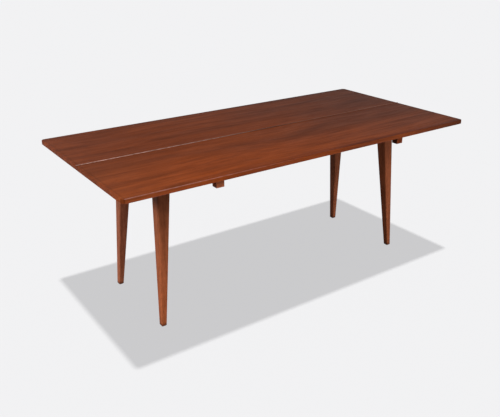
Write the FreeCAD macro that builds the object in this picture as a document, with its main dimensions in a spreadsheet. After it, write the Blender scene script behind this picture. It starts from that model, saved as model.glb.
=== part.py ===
import FreeCAD, Part
import os
import re
import Sketcher

# Flip-top dining table, open. Millimetres, +X along the length, +Y to the rear, +Z up.
# The origin is on the floor, under the centre of the open top.

SIZES = {
    # Top
    "top_length": 1900.0,
    "leaf_depth": 450.0,
    "top_height": 740.0,
    "leaf_thick": 20.0,
    "corner_round": 18.0,
    "upper_arris": 3.0,
    "lower_arris": 1.2,
    "seam_gap": 0.4,
    "fold_gap": 0.4,
    # Running clearances
    "slide_gap": 0.3,
    "felt_thick": 1.5,
    "felt_wide": 14.0,
    # Legs: a plumb joint block above, a splayed taper below
    "end_overhang": 257.2,
    "block_outer_y": 214.6,
    "block_wide": 60.0,
    "block_deep": 60.0,
    "block_round": 6.0,
    "foot_wide": 24.0,
    "foot_deep": 28.0,
    "foot_round": 4.5,
    "foot_out_x": 49.7,
    "foot_out_y": 44.3,
    "foot_arris": 4.0,
    "glide_high": 3.0,
    "glide_radius": 8.0,
    "glide_arris": 1.0,
    "nail_radius": 1.3,
    "nail_long": 12.0,
    # Aprons
    "apron_high": 73.0,
    "apron_thick": 20.0,
    "apron_reveal": 6.0,
    "tenon_thick": 10.0,
    "tenon_long": 20.0,
    "tenon_high": 50.0,
    "tenon_low": 12.0,
    "tenon_room": 1.0,
    # Runners, guide rails and centre rail
    "runner_inset": 147.0,
    "runner_wide": 37.0,
    "runner_high": 38.0,
    "runner_setback": 28.0,
    "runner_clear": 1.0,
    "runner_nose": 6.0,
    "nose_long": 31.0,
    "relief_long": 130.0,
    "relief_high": 10.5,
    "guide_wide": 22.0,
    "guide_high": 48.0,
    "guide_clear": 0.5,
    "tongue_out": 7.0,
    "tongue_high": 9.0,
    "tongue_low": 20.0,
    "tongue_clear": 0.5,
    "tongue_end": 1.0,
    "housing": 8.0,
    "centre_wide": 20.0,
    "centre_high": 58.0,
    # Stop blocks
    "stop_long": 40.0,
    "stop_wide": 30.0,
    "stop_high": 14.0,
    "stop_gap": 0.3,
    "closed_gap": 0.5,
    # Corner braces
    "brace_near": 70.0,
    "brace_far": 106.0,
    "brace_high": 40.0,
    "brace_drop": 14.0,
    "brace_screw_at": 80.0,
    "brace_seat": 12.0,
    # Wood screws
    "shank_radius": 2.0,
    "head_radius": 4.0,
    "head_high": 2.6,
    "screw_clear": 0.05,
    "hole_room": 1.0,
    "head_room": 0.5,
    "brace_screw_long": 25.0,
    "runner_seat": 14.0,
    "runner_screw_long": 34.0,
    "stop_seat": 5.0,
    "stop_screw_long": 24.0,
    # Continuous hinge
    "hinge_inset": 1.0,
    "barrel_radius": 2.3,
    "pin_radius": 1.1,
    "pin_clear": 0.05,
    "cove_clear": 0.3,
    "knuckle_gap": 0.3,
    "knuckle_relief": 0.15,
    "flange_thick": 1.0,
    "flange_drop": 17.0,
    "hinge_screw_drop": 10.5,
    "hinge_shank": 1.4,
    "hinge_head": 2.6,
    "hinge_sink": 0.6,
    "hinge_screw_long": 14.0,
}

KNUCKLE_COUNT = 41
HINGE_SCREW_COUNT = 20
RUNNER_SCREW_COUNT = 3
STOP_SCREW_COUNT = 2

doc = FreeCAD.newDocument("flip_top_table")
sheet = doc.addObject("Spreadsheet::Sheet", "Sizes")
for row, (alias, value) in enumerate(SIZES.items(), 1):
    sheet.set("A%d" % row, alias)
    sheet.set("B%d" % row, "%g" % value)
    sheet.setAlias("B%d" % row, alias)
doc.recompute()

pieces = []


def of_sheet(text):
    """Turn bare size names in an expression into references to the sheet."""
    return re.sub("[a-z_]+", lambda word: "Sizes." + word.group(), text)


def number(text):
    """Present value of an expression of sheet sizes."""
    return float(sheet.evalExpression(of_sheet(text)))


def bind(item, path, text):
    """Bind one property of a document object to sheet sizes."""
    item.setExpression(path, of_sheet(text))


def new_body(label, place=("0", "0", "0"), turn=0.0):
    """Body of one piece, placed by expressions and turned about +Z."""
    body = doc.addObject("PartDesign::Body", label)
    body.Label = label
    body.Placement = FreeCAD.Placement(
        FreeCAD.Vector(*[number(text) for text in place]),
        FreeCAD.Rotation(FreeCAD.Vector(0, 0, 1), turn),
    )
    for axis, text in zip("xyz", place):
        bind(body, "Placement.Base." + axis, text)
    pieces.append(body)
    return body


def origin_plane(body, role):
    """Origin plane of a body, by its role."""
    for feature in body.Origin.OriginFeatures:
        if feature.Role == role:
            return feature
    raise RuntimeError(role)


def new_sketch(body, role, shift=("0", "0", "0")):
    """Empty sketch on an origin plane, shifted in the sketch's own axes."""
    sketch = body.newObject("Sketcher::SketchObject", body.Name + "_sketch")
    sketch.AttachmentSupport = [(origin_plane(body, role), "")]
    sketch.MapMode = "FlatFace"
    for axis, text in zip("xyz", shift):
        if text != "0":
            bind(sketch, "AttachmentOffset.Base." + axis, text)
    return sketch


def size(sketch, constraint, name, text):
    """Add a dimension and bind it to the sheet."""
    index = sketch.addConstraint(constraint)
    sketch.renameConstraint(index, name)
    bind(sketch, "Constraints." + name, text)


def rectangle(sketch, wide, high):
    """Rectangle centred on the sketch's origin."""
    x = number(wide) / 2
    y = number(high) / 2
    corners = [(-x, -y), (x, -y), (x, y), (-x, y)]
    points = [FreeCAD.Vector(px, py, 0) for px, py in corners]
    for i in range(4):
        sketch.addGeometry(Part.LineSegment(points[i], points[(i + 1) % 4]), False)
    for i in range(4):
        sketch.addConstraint(Sketcher.Constraint("Coincident", i, 2, (i + 1) % 4, 1))
    for i, way in enumerate(("Horizontal", "Vertical", "Horizontal", "Vertical")):
        sketch.addConstraint(Sketcher.Constraint(way, i))
    sketch.addConstraint(Sketcher.Constraint("Symmetric", 0, 1, 2, 1, -1, 1))
    size(sketch, Sketcher.Constraint("DistanceX", 0, 1, 0, 2, 2 * x), "wide", wide)
    size(sketch, Sketcher.Constraint("DistanceY", 1, 1, 1, 2, 2 * y), "high", high)


def round_rectangle(sketch, wide, high, radius):
    """Rectangle with rounded corners, centred on the sketch's origin."""
    x = number(wide) / 2
    y = number(high) / 2
    r = number(radius)
    vector = FreeCAD.Vector
    lines = [
        (vector(-x + r, -y, 0), vector(x - r, -y, 0)),
        (vector(x, -y + r, 0), vector(x, y - r, 0)),
        (vector(x - r, y, 0), vector(-x + r, y, 0)),
        (vector(-x, y - r, 0), vector(-x, -y + r, 0)),
    ]
    centres = [(x - r, -y + r), (x - r, y - r), (-x + r, y - r), (-x + r, -y + r)]
    quarter = 1.5707963267948966
    for start, end in lines:
        sketch.addGeometry(Part.LineSegment(start, end), False)
    for i, (cx, cy) in enumerate(centres):
        circle = Part.Circle(vector(cx, cy, 0), vector(0, 0, 1), r)
        sketch.addGeometry(Part.ArcOfCircle(circle, (i - 1) * quarter, i * quarter), False)
    for i in range(4):
        sketch.addConstraint(Sketcher.Constraint("Tangent", i, 2, 4 + i, 1))
        sketch.addConstraint(Sketcher.Constraint("Tangent", 4 + i, 2, (i + 1) % 4, 1))
    for i, way in enumerate(("Horizontal", "Vertical", "Horizontal", "Vertical")):
        sketch.addConstraint(Sketcher.Constraint(way, i))
    for i in (5, 6, 7):
        sketch.addConstraint(Sketcher.Constraint("Equal", 4, i))
    sketch.addConstraint(Sketcher.Constraint("Symmetric", 4, 3, 6, 3, -1, 1))
    size(sketch, Sketcher.Constraint("Radius", 4, r), "radius", radius)
    size(sketch, Sketcher.Constraint("DistanceX", 3, 1, 1, 1, 2 * x), "wide", wide)
    size(sketch, Sketcher.Constraint("DistanceY", 0, 1, 2, 2, 2 * y), "high", high)


def circle(sketch, radius):
    """Circle on the sketch's origin."""
    r = number(radius)
    middle = FreeCAD.Vector(0, 0, 0)
    sketch.addGeometry(Part.Circle(middle, FreeCAD.Vector(0, 0, 1), r), False)
    sketch.addConstraint(Sketcher.Constraint("Coincident", 0, 3, -1, 1))
    size(sketch, Sketcher.Constraint("Radius", 0, r), "radius", radius)


def extrude(body, kind, sketch, length, back=False):
    """Pad along the sketch's normal, or pocket against it; back turns the way round."""
    feature = body.newObject("PartDesign::" + kind, body.Name + "_" + kind.lower())
    feature.Profile = sketch
    feature.Length = number(length)
    bind(feature, "Length", length)
    feature.Reversed = back
    sketch.Visibility = False
    return feature


def pad_box(body, role, shift, wide, high, length):
    """Rectangular pad."""
    sketch = new_sketch(body, role, shift)
    rectangle(sketch, wide, high)
    return extrude(body, "Pad", sketch, length)


def cut_box(body, role, shift, wide, high, length, back=False):
    """Rectangular pocket."""
    sketch = new_sketch(body, role, shift)
    rectangle(sketch, wide, high)
    return extrude(body, "Pocket", sketch, length, back)


def pad_round(body, role, shift, radius, length, back=False):
    """Round pad."""
    sketch = new_sketch(body, role, shift)
    circle(sketch, radius)
    return extrude(body, "Pad", sketch, length, back)


def cut_round(body, role, shift, radius, length, back=False):
    """Round pocket."""
    sketch = new_sketch(body, role, shift)
    circle(sketch, radius)
    return extrude(body, "Pocket", sketch, length, back)


def row_of(body, features, axis, length, count):
    """Repeat features in a straight row along an axis of the first one's sketch."""
    pattern = body.newObject("PartDesign::LinearPattern", body.Name + "_row")
    pattern.Originals = features
    pattern.Direction = (features[0].Profile[0], [axis])
    pattern.Length = number(length)
    bind(pattern, "Length", length)
    pattern.Occurrences = count
    body.Tip = pattern
    return pattern


def round_edges(body, base, radius, wanted):
    """Fillet the edges of a feature that a test on their centre and direction picks."""
    doc.recompute()
    names = []
    for i, edge in enumerate(base.Shape.Edges, 1):
        if wanted(edge):
            names.append("Edge%d" % i)
    if not names:
        raise RuntimeError("no edges to round on " + body.Label)
    fillet = body.newObject("PartDesign::Fillet", body.Name + "_fillet")
    fillet.Base = (base, names)
    fillet.Radius = number(radius)
    bind(fillet, "Radius", radius)
    return fillet


# Levels and planes that several pieces share, as expressions of the sheet
UNDERSIDE = "(top_height - leaf_thick)"
FRAME_TOP = "(top_height - leaf_thick - slide_gap - felt_thick)"
KNEE = "(top_height - leaf_thick - slide_gap - felt_thick - apron_high)"
BLOCK_X = "(top_length / 2 - end_overhang - block_wide / 2)"
BLOCK_Y = "(block_outer_y - block_deep / 2)"
APRON_Y = "(block_outer_y - apron_reveal - apron_thick / 2)"
APRON_INNER_Y = "(block_outer_y - apron_reveal - apron_thick)"
APRON_X = "(top_length / 2 - end_overhang - apron_reveal - apron_thick / 2)"
APRON_INNER_X = "(top_length / 2 - end_overhang - apron_reveal - apron_thick)"
LONG_SPAN = "(top_length - 2 * end_overhang - 2 * block_wide)"
END_SPAN = "(2 * block_outer_y - 2 * block_deep)"
HINGE_Z = "(top_height + fold_gap / 2)"
HINGE_LONG = "(top_length - 2 * hinge_inset)"
RUNNER_X = "(%s - runner_inset)" % BLOCK_X
RUNNER_FRONT = "(leaf_depth - runner_setback)"
RUNNER_REAR = "(leaf_depth / 2 - block_outer_y + apron_reveal + apron_thick + closed_gap)"
RUNNER_LONG = "(%s - %s)" % (RUNNER_FRONT, RUNNER_REAR)
RUNNER_Y = "(-(%s + %s) / 2)" % (RUNNER_FRONT, RUNNER_REAR)
STOP_Y = "(-%s + stop_gap + stop_long / 2)" % APRON_INNER_Y
GUIDE_OFF = "(runner_wide / 2 + guide_clear + guide_wide / 2)"
SCREW_PITCH = "(%s / %d)" % (HINGE_LONG, HINGE_SCREW_COUNT)
RUNNER_PITCH = "(%s / %d)" % (RUNNER_LONG, RUNNER_SCREW_COUNT)
SIDES = (("left", -1), ("right", 1))
ENDS = (("front", -1), ("rear", 1))


def leg(label, side, end):
    """Leg with a plumb joint block, a splayed taper, two mortises and a nail hole for its glide."""
    body = new_body(label, ("%d * %s" % (side, BLOCK_X), "%d * %s" % (end, BLOCK_Y), "0"))
    block = new_sketch(body, "XY_Plane", ("0", "0", KNEE))
    round_rectangle(block, "block_wide", "block_deep", "block_round")
    extrude(body, "Pad", block, "apron_high")
    knee = new_sketch(body, "XY_Plane", ("0", "0", KNEE))
    round_rectangle(knee, "block_wide", "block_deep", "block_round")
    foot_at = ("%d * foot_out_x" % side, "%d * foot_out_y" % end)
    foot = new_sketch(body, "XY_Plane", foot_at + ("glide_high",))
    round_rectangle(foot, "foot_wide", "foot_deep", "foot_round")
    loft = body.newObject("PartDesign::AdditiveLoft", body.Name + "_taper")
    loft.Profile = knee
    loft.Sections = [foot]
    loft.Ruled = True
    knee.Visibility = False
    foot.Visibility = False
    sole = number("glide_high")
    round_edges(body, loft, "foot_arris", lambda edge: edge.BoundBox.ZMax < sole + 0.01)
    depth = "(tenon_long + tenon_room)"
    tenon_z = "(%s + tenon_low + tenon_high / 2)" % KNEE
    long_y = "%d * (%s - %s)" % (end, APRON_Y, BLOCK_Y)
    start_x = "block_wide / 2" if side < 0 else "(%s - block_wide / 2)" % depth
    cut_box(body, "YZ_Plane", (long_y, tenon_z, start_x), "tenon_thick", "tenon_high", depth)
    end_x = "%d * (%s - %s)" % (side, APRON_X, BLOCK_X)
    start_y = "(%s - block_deep / 2)" % depth if end < 0 else "block_deep / 2"
    cut_box(body, "XZ_Plane", (end_x, tenon_z, start_y), "tenon_thick", "tenon_high", depth)
    nail = "(nail_long + hole_room)"
    cut_round(body, "XY_Plane", foot_at + ("glide_high",), "nail_radius + screw_clear", nail, True)


def glide(label, side, end):
    """Nail-on glide under a foot."""
    x = "%d * (%s + foot_out_x)" % (side, BLOCK_X)
    y = "%d * (%s + foot_out_y)" % (end, BLOCK_Y)
    body = new_body(label, (x, y, "0"))
    disc = pad_round(body, "XY_Plane", ("0", "0", "0"), "glide_radius", "glide_high")
    round_edges(body, disc, "glide_arris", lambda edge: edge.BoundBox.ZMax < 0.01)
    pad_round(body, "XY_Plane", ("0", "0", "glide_high"), "nail_radius", "nail_long")


def apron(label, x, y, along_x, long):
    """Apron board with a tenon at each end."""
    body = new_body(label, (x, y, KNEE))
    tip_long = "(%s + 2 * tenon_long)" % long
    tenon_at = ("0", "0", "tenon_low")
    flat = ("0", "0", "0")
    if along_x:
        pad_box(body, "XY_Plane", flat, long, "apron_thick", "apron_high")
        pad_box(body, "XY_Plane", tenon_at, tip_long, "tenon_thick", "tenon_high")
    else:
        pad_box(body, "XY_Plane", flat, "apron_thick", long, "apron_high")
        pad_box(body, "XY_Plane", tenon_at, "tenon_thick", tip_long, "tenon_high")
    return body


def long_apron(label, end):
    """Front or rear apron: housings for the cross rails and pilot holes for the brace screws."""
    body = apron(label, "0", "%d * %s" % (end, APRON_Y), True, LONG_SPAN)
    inner = "%d * (apron_thick - housing) / 2" % -end
    for _, side in SIDES:
        for way in (-1, 1):
            x = "%d * (%s + %d * %s)" % (side, RUNNER_X, way, GUIDE_OFF)
            cut_box(body, "XY_Plane", (x, inner, "apron_high"), "guide_wide", "housing", "guide_high")
        if end < 0:
            slot = "runner_wide + 2 * runner_clear"
            deep = "(runner_high - slide_gap - felt_thick + runner_clear)"
            at = ("%d * %s" % (side, RUNNER_X), "0", "apron_high")
            cut_box(body, "XY_Plane", at, slot, "apron_thick", deep)
        hole_x = "%d * (%s - brace_screw_at)" % (side, APRON_INNER_X)
        hole_z = "(apron_high - brace_drop - brace_high / 2)"
        depth = "(brace_screw_long - brace_seat + hole_room)"
        start = "(%s - apron_thick / 2)" % depth if end < 0 else "apron_thick / 2"
        cut_round(body, "XZ_Plane", (hole_x, hole_z, start), "shank_radius + screw_clear", depth)
    cut_box(body, "XY_Plane", ("0", inner, "apron_high"), "centre_wide", "housing", "centre_high")


def end_apron(label, side):
    """End apron, with pilot holes for the brace screws."""
    body = apron(label, "%d * %s" % (side, APRON_X), "0", False, END_SPAN)
    for _, end in ENDS:
        hole_y = "%d * (%s - brace_screw_at)" % (end, APRON_INNER_Y)
        hole_z = "(apron_high - brace_drop - brace_high / 2)"
        depth = "(brace_screw_long - brace_seat + hole_room)"
        start = "apron_thick / 2" if side < 0 else "(%s - apron_thick / 2)" % depth
        cut_round(body, "YZ_Plane", (hole_y, hole_z, start), "shank_radius + screw_clear", depth)


def guide(label, side, way):
    """Cross rail on the outer or inner side of a runner; its tongue runs in the runner's side groove."""
    x = "%d * (%s + %d * %s)" % (side, RUNNER_X, way, GUIDE_OFF)
    body = new_body(label, (x, "0", FRAME_TOP))
    long = "(2 * %s + 2 * housing)" % APRON_INNER_Y
    pad_box(body, "XY_Plane", ("0", "0", "-guide_high"), "guide_wide", long, "guide_high")
    toward = -side * way
    tongue_x = "%d * (guide_wide / 2 + tongue_out / 2)" % toward
    tongue_long = "(2 * %s - 2 * tongue_end)" % APRON_INNER_Y
    tongue_z = "-tongue_low"
    pad_box(body, "XY_Plane", (tongue_x, "0", tongue_z), "tongue_out", tongue_long, "tongue_high")


def centre_rail(label):
    """Plain cross rail at the middle of the frame."""
    body = new_body(label, ("0", "0", FRAME_TOP))
    long = "(2 * %s + 2 * housing)" % APRON_INNER_Y
    pad_box(body, "XY_Plane", ("0", "0", "-centre_high"), "centre_wide", long, "centre_high")


def brace(label, side, end):
    """Diagonal brace in a corner of the frame, drilled for one screw into each apron."""
    turn = {(-1, -1): 0.0, (1, -1): 90.0, (1, 1): 180.0, (-1, 1): 270.0}[(side, end)]
    low = "(%s - brace_drop - brace_high)" % FRAME_TOP
    place = ("%d * %s" % (side, APRON_INNER_X), "%d * %s" % (end, APRON_INNER_Y), low)
    body = new_body(label, place, turn)
    sketch = new_sketch(body, "XY_Plane")
    near = number("brace_near")
    far = number("brace_far")
    corners = [(near, 0), (far, 0), (0, far), (0, near)]
    points = [FreeCAD.Vector(x, y, 0) for x, y in corners]
    for i in range(4):
        sketch.addGeometry(Part.LineSegment(points[i], points[(i + 1) % 4]), False)
    for i in range(4):
        sketch.addConstraint(Sketcher.Constraint("Coincident", i, 2, (i + 1) % 4, 1))
    for i, axis in ((0, -1), (1, -1), (2, -2), (3, -2)):
        sketch.addConstraint(Sketcher.Constraint("PointOnObject", i, 1, axis))
    size(sketch, Sketcher.Constraint("DistanceX", -1, 1, 0, 1, near), "near_x", "brace_near")
    size(sketch, Sketcher.Constraint("DistanceX", -1, 1, 1, 1, far), "far_x", "brace_far")
    size(sketch, Sketcher.Constraint("DistanceY", -1, 1, 2, 1, far), "far_y", "brace_far")
    size(sketch, Sketcher.Constraint("DistanceY", -1, 1, 3, 1, near), "near_y", "brace_near")
    extrude(body, "Pad", sketch, "brace_high")
    middle = "(brace_high / 2)"
    hole = "shank_radius + screw_clear"
    sink = "head_radius + head_room"
    sink_long = "(brace_far - brace_seat)"
    cut_round(body, "XZ_Plane", ("brace_screw_at", middle, "0"), hole, "brace_far")
    cut_round(body, "XZ_Plane", ("brace_screw_at", middle, "-brace_seat"), sink, sink_long)
    cut_round(body, "YZ_Plane", ("brace_screw_at", middle, "0"), hole, "brace_far", True)
    cut_round(body, "YZ_Plane", ("brace_screw_at", middle, "brace_seat"), sink, sink_long, True)


def felt(label, x, y, wide, deep):
    """Felt strip glued on the top edge of an apron."""
    body = new_body(label, (x, y, FRAME_TOP))
    pad_box(body, "XY_Plane", ("0", "0", "0"), wide, deep, "felt_thick")


def leaf(label, end):
    """Leaf board: rounded outer corners, eased arrises, rebate and cove for the hinge at the seam."""
    middle = "%d * (leaf_depth + seam_gap / 2) / 2" % end
    body = new_body(label, ("0", middle, UNDERSIDE))
    deep = "(leaf_depth - seam_gap / 2)"
    board = pad_box(body, "XY_Plane", ("0", "0", "0"), "top_length", deep, "leaf_thick")
    half = number(deep) / 2
    thick = number("leaf_thick")

    def at_seam(edge):
        return end * edge.CenterOfMass.y < -half + 0.01

    def upright(edge):
        return edge.BoundBox.ZLength > thick - 0.01 and not at_seam(edge)

    def upper(edge):
        return edge.BoundBox.ZMin > thick - 0.01 and not at_seam(edge)

    def lower(edge):
        return edge.BoundBox.ZMax < 0.01 and not at_seam(edge)

    corners = round_edges(body, board, "corner_round", upright)
    above = round_edges(body, corners, "upper_arris", upper)
    round_edges(body, above, "lower_arris", lower)
    seam = "%d * %s / 2" % (-end, deep)
    rebate_y = "(%s + %d * flange_thick / 2)" % (seam, end)
    rebate_z = "(leaf_thick - flange_drop / 2)"
    start = "(top_length / 2)"
    cut_box(body, "YZ_Plane", (rebate_y, rebate_z, start), "flange_thick", "flange_drop", "top_length")
    cove_y = "(%s - %d * seam_gap / 2)" % (seam, end)
    cove_z = "(leaf_thick + fold_gap / 2)"
    cove_radius = "barrel_radius + cove_clear"
    cut_round(body, "YZ_Plane", (cove_y, cove_z, start), cove_radius, "top_length")
    first_x = "(-(%d - 1) * %s / 2)" % (HINGE_SCREW_COUNT, SCREW_PITCH)
    hole_z = "(leaf_thick - hinge_screw_drop)"
    depth = "(hinge_screw_long + hole_room)"
    face = "(%s + %d * flange_thick)" % (seam, end)
    plane = "(-(%s))" % face if end > 0 else "(-(%s) + %s)" % (face, depth)
    hole = cut_round(body, "XZ_Plane", (first_x, hole_z, plane), "hinge_shank + screw_clear", depth)
    row_of(body, [hole], "H_Axis", "((%d - 1) * %s)" % (HINGE_SCREW_COUNT, SCREW_PITCH), HINGE_SCREW_COUNT)
    return body


def runner_holes(body):
    """Pilot holes for the runner screws in the underside of the front leaf."""
    start = "(%s - (%d - 1) / 2 * %s)" % (RUNNER_Y, RUNNER_SCREW_COUNT, RUNNER_PITCH)
    middle = "(-1 * (leaf_depth + seam_gap / 2) / 2)"
    depth = "(runner_screw_long + runner_seat - runner_high + hole_room)"
    radius = "shank_radius + screw_clear"
    for _, side in SIDES:
        at = ("%d * %s" % (side, RUNNER_X), "(%s - %s)" % (start, middle), "0")
        hole = cut_round(body, "XY_Plane", at, radius, depth, True)
        row = "((%d - 1) * %s)" % (RUNNER_SCREW_COUNT, RUNNER_PITCH)
        row_of(body, [hole], "V_Axis", row, RUNNER_SCREW_COUNT)


def runner(label, side):
    """Runner under the front leaf: deep nose, relieved underside, a groove on both sides, drilled for its screws."""
    place = ("%d * %s" % (side, RUNNER_X), RUNNER_Y, "(%s - runner_high)" % UNDERSIDE)
    body = new_body(label, place)
    pad_box(body, "XY_Plane", ("0", "0", "0"), "runner_wide", RUNNER_LONG, "runner_high")
    relief_y = "(nose_long + relief_long / 2 - %s / 2)" % RUNNER_LONG
    cut_box(body, "XY_Plane", ("0", relief_y, "0"), "runner_wide", "relief_long", "relief_high", True)
    groove_deep = "(tongue_out + guide_clear)"
    groove_high = "(tongue_high + 2 * tongue_clear)"
    groove_z = "(runner_high - slide_gap - felt_thick - tongue_low + tongue_high / 2)"
    groove_long = "(%s - runner_nose)" % RUNNER_LONG
    groove_start = "(%s / 2 - runner_nose)" % RUNNER_LONG
    for way in (-1, 1):
        at = ("%d * (runner_wide / 2 - %s / 2)" % (way, groove_deep), groove_z, groove_start)
        cut_box(body, "XZ_Plane", at, groove_deep, groove_high, groove_long)
    first = "(-(%d - 1) / 2 * %s)" % (RUNNER_SCREW_COUNT, RUNNER_PITCH)
    row = "((%d - 1) * %s)" % (RUNNER_SCREW_COUNT, RUNNER_PITCH)
    hole = cut_round(body, "XY_Plane", ("0", first, "0"), "shank_radius + screw_clear", "runner_high", True)
    row_of(body, [hole], "V_Axis", row, RUNNER_SCREW_COUNT)
    sink = cut_round(body, "XY_Plane", ("0", first, "0"), "head_radius + head_room", "runner_seat", True)
    row_of(body, [sink], "V_Axis", row, RUNNER_SCREW_COUNT)
    stop_first = "(%s - %s - stop_long / 4)" % (STOP_Y, RUNNER_Y)
    depth = "(stop_screw_long + stop_seat - stop_high + hole_room)"
    pilot = cut_round(body, "XY_Plane", ("0", stop_first, "0"), "shank_radius + screw_clear", depth, True)
    row_of(body, [pilot], "V_Axis", "(stop_long / 2)", STOP_SCREW_COUNT)


def stop_block(label, side):
    """Block under a runner that meets the front apron when the top is fully open."""
    low = "(%s - runner_high - stop_high)" % UNDERSIDE
    body = new_body(label, ("%d * %s" % (side, RUNNER_X), STOP_Y, low))
    pad_box(body, "XY_Plane", ("0", "0", "0"), "stop_wide", "stop_long", "stop_high")
    first = ("0", "(-stop_long / 4)", "0")
    hole = cut_round(body, "XY_Plane", first, "shank_radius + screw_clear", "stop_high", True)
    row_of(body, [hole], "V_Axis", "(stop_long / 2)", STOP_SCREW_COUNT)
    sink = cut_round(body, "XY_Plane", first, "head_radius + head_room", "stop_seat", True)
    row_of(body, [sink], "V_Axis", "(stop_long / 2)", STOP_SCREW_COUNT)


def hinge_flange(label, end, count, first_knuckle):
    """Flange of the continuous hinge with its share of the knuckles, in the frame of the hinge axis."""
    body = new_body(label, ("0", "0", HINGE_Z))
    y = "%d * (seam_gap / 2 + flange_thick / 2)" % end
    plate_top = "(barrel_radius + knuckle_relief)"
    bottom = "(flange_drop + fold_gap / 2)"
    start = "(-%s / 2)" % HINGE_LONG
    plate_at = (y, "(-(%s + %s) / 2)" % (bottom, plate_top), start)
    pad_box(body, "YZ_Plane", plate_at, "flange_thick", "(%s - %s)" % (bottom, plate_top), HINGE_LONG)
    pitch = "(%s / %d)" % (HINGE_LONG, KNUCKLE_COUNT)
    knuckle_x = "(%s + %d * %s + knuckle_gap / 2)" % (start, first_knuckle, pitch)
    knuckle_long = "(%s - knuckle_gap)" % pitch
    tab_at = (y, "(-%s / 2)" % plate_top, knuckle_x)
    tab = pad_box(body, "YZ_Plane", tab_at, "flange_thick", plate_top, knuckle_long)
    knuckle = pad_round(body, "YZ_Plane", ("0", "0", knuckle_x), "barrel_radius", knuckle_long)
    row_of(body, [tab, knuckle], "N_Axis", "(%d * 2 * %s)" % (count - 1, pitch), count)
    bore_start = "(%s / 2)" % HINGE_LONG
    cut_round(body, "YZ_Plane", ("0", "0", bore_start), "pin_radius + pin_clear", HINGE_LONG)
    first_x = "(-(%d - 1) * %s / 2)" % (HINGE_SCREW_COUNT, SCREW_PITCH)
    hole_z = "(-hinge_screw_drop - fold_gap / 2)"
    outer = "(seam_gap / 2 + flange_thick)"
    plane = "(-seam_gap / 2)" if end > 0 else outer
    hole_at = (first_x, hole_z, plane)
    hole = cut_round(body, "XZ_Plane", hole_at, "hinge_shank + screw_clear", "flange_thick")
    row_of(body, [hole], "H_Axis", "((%d - 1) * %s)" % (HINGE_SCREW_COUNT, SCREW_PITCH), HINGE_SCREW_COUNT)
    sink_plane = plane if end > 0 else "(seam_gap / 2 + hinge_sink)"
    head = "hinge_head + screw_clear"
    sink = cut_round(body, "XZ_Plane", (first_x, hole_z, sink_plane), head, "hinge_sink")
    row_of(body, [sink], "H_Axis", "((%d - 1) * %s)" % (HINGE_SCREW_COUNT, SCREW_PITCH), HINGE_SCREW_COUNT)


def hinge_screws(label, end):
    """Row of flat-headed screws that hold a hinge flange to the edge of its leaf."""
    body = new_body(label, ("0", "0", HINGE_Z))
    first_x = "(-(%d - 1) * %s / 2)" % (HINGE_SCREW_COUNT, SCREW_PITCH)
    z = "(-hinge_screw_drop - fold_gap / 2)"
    head_high = "hinge_sink"
    head_plane = "(-seam_gap / 2)" if end > 0 else "(seam_gap / 2)"
    back = end > 0
    head = pad_round(body, "XZ_Plane", (first_x, z, head_plane), "hinge_head", head_high, back)
    shank_plane = "%d * (seam_gap / 2 + %s)" % (-end, head_high)
    shank_long = "(hinge_screw_long + flange_thick - %s)" % head_high
    shank = pad_round(body, "XZ_Plane", (first_x, z, shank_plane), "hinge_shank", shank_long, back)
    row = "((%d - 1) * %s)" % (HINGE_SCREW_COUNT, SCREW_PITCH)
    row_of(body, [head, shank], "H_Axis", row, HINGE_SCREW_COUNT)


def screw_solid(name, place, rotation, long):
    """One wood screw whose head sits at its own origin and whose shank runs along its own +Z."""
    head = doc.addObject("Part::Cylinder", name + "_head")
    bind(head, "Radius", "head_radius")
    bind(head, "Height", "head_high")
    bind(head, "Placement.Base.z", "-head_high")
    shank = doc.addObject("Part::Cylinder", name + "_shank")
    bind(shank, "Radius", "shank_radius")
    bind(shank, "Height", long)
    screw = doc.addObject("Part::Fuse", name)
    screw.Base = head
    screw.Tool = shank
    screw.Placement = FreeCAD.Placement(FreeCAD.Vector(*[number(text) for text in place]), rotation)
    for axis, text in zip("xyz", place):
        bind(screw, "Placement.Base." + axis, text)
    return screw


def screw_group(label, screws):
    """Group of separate screws under one name."""
    group = doc.addObject("Part::Compound", label)
    group.Label = label
    group.Links = screws
    pieces.append(group)


def brace_screws(label):
    """Two screws in each corner brace, one into the long apron and one into the end apron."""
    z = "(%s - brace_drop - brace_high / 2)" % FRAME_TOP
    screws = []
    for side_name, side in SIDES:
        for end_name, end in ENDS:
            name = "%s_%s_%s" % (label, end_name, side_name)
            far_x = "%d * (%s - brace_screw_at)" % (side, APRON_INNER_X)
            seat_y = "%d * (%s - brace_seat)" % (end, APRON_INNER_Y)
            to_y = FreeCAD.Rotation(FreeCAD.Vector(1, 0, 0), -90.0 * end)
            screws.append(screw_solid(name + "_long", (far_x, seat_y, z), to_y, "brace_screw_long"))
            seat_x = "%d * (%s - brace_seat)" % (side, APRON_INNER_X)
            far_y = "%d * (%s - brace_screw_at)" % (end, APRON_INNER_Y)
            to_x = FreeCAD.Rotation(FreeCAD.Vector(0, 1, 0), 90.0 * side)
            screws.append(screw_solid(name + "_end", (seat_x, far_y, z), to_x, "brace_screw_long"))
    screw_group(label, screws)


def runner_screws(label):
    """Screws that hold the runners to the front leaf, driven from below."""
    upright = FreeCAD.Rotation()
    screws = []
    z = "(%s - runner_high + runner_seat)" % UNDERSIDE
    for side_name, side in SIDES:
        for i in range(RUNNER_SCREW_COUNT):
            y = "(%s + (%d - (%d - 1) / 2) * %s)" % (RUNNER_Y, i, RUNNER_SCREW_COUNT, RUNNER_PITCH)
            name = "%s_%s_%d" % (label, side_name, i)
            place = ("%d * %s" % (side, RUNNER_X), y, z)
            screws.append(screw_solid(name, place, upright, "runner_screw_long"))
    screw_group(label, screws)


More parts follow.
